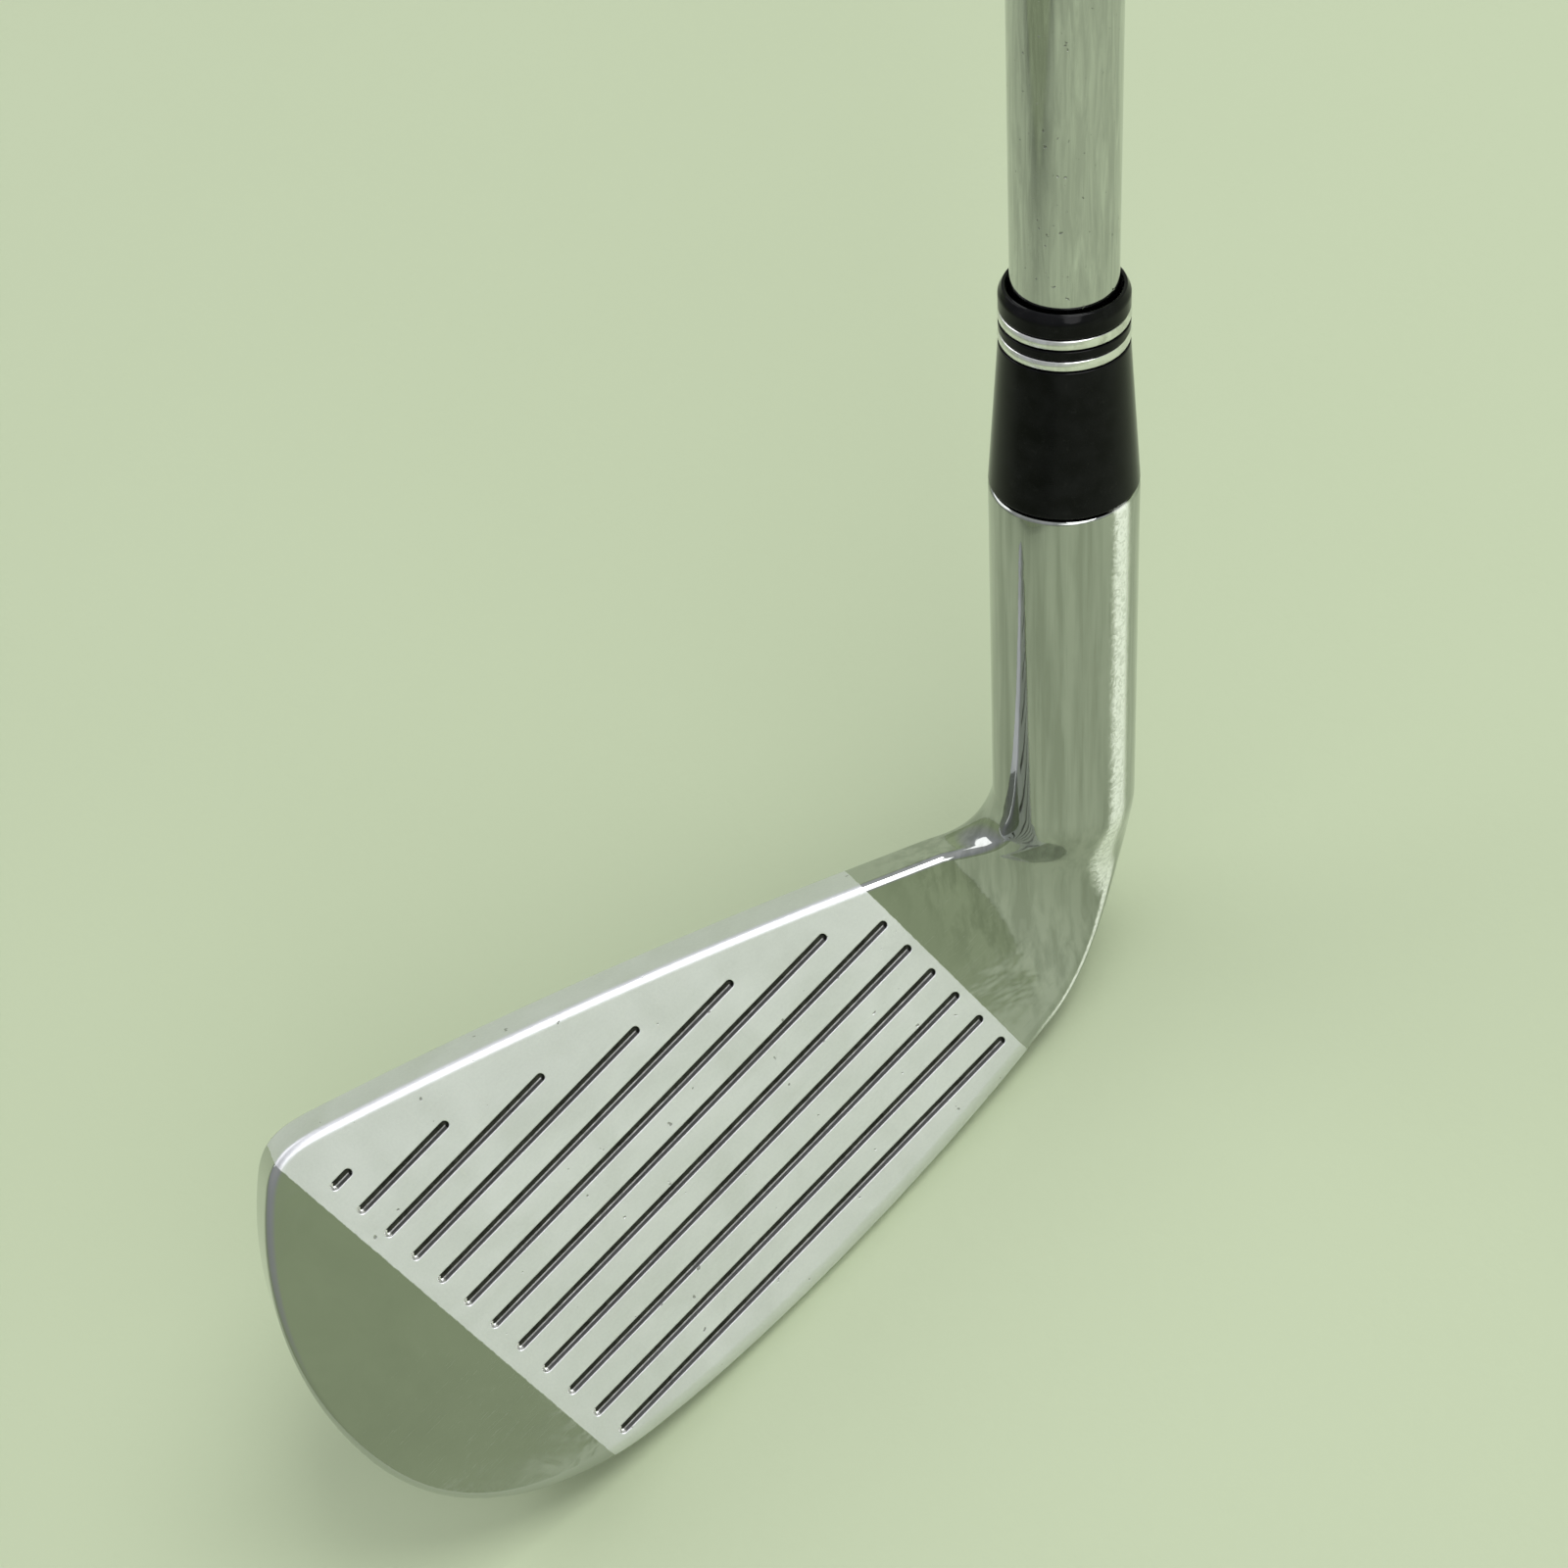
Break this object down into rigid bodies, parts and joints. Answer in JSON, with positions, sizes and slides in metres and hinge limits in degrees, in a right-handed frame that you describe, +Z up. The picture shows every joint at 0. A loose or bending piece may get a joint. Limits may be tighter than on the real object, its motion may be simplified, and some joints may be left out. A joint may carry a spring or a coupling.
{
  "type": "iron golf club",
  "caption": "Right-handed mid-iron golf club: chromed forged blade with score lines and hosel, stepped steel shaft, black ferrule with silver rings, tapered rubber grip.",
  "frame": {"origin": "middle of the small flat on the sole that touches the ground at address", "axes": "+X from toe to heel, -Y the way the face looks (target), +Z up; the shaft rises towards +X and +Z in a plane of constant Y"},
  "size_m": [0.5737, 0.035, 0.8413],
  "materials": {
    "head_chrome": "mirror-polished chrome plate, with a satin blasted face band",
    "shaft_chrome": "polished chrome plate on steel tube",
    "epoxy": "cured epoxy resin",
    "brass": "turned brass",
    "ferrule_black": "buffed gloss black plastic",
    "ring_silver": "bright turned metal",
    "tape": "double-sided paper tape",
    "grip_rubber": "moulded matt rubber"
  },
  "bodies": {
    "root": {"head": "head_chrome", "epoxy_plug": "epoxy", "tip_weight": "brass", "shaft": "shaft_chrome", "ferrule_body": "ferrule_black", "ferrule_ring_lower": "ring_silver", "ferrule_spacer": "ferrule_black", "ferrule_ring_upper": "ring_silver", "ferrule_cap": "ferrule_black", "grip_tape": "tape", "grip_sleeve": "grip_rubber", "grip_end_cap": "grip_rubber"}
  },
  "joints": []
}
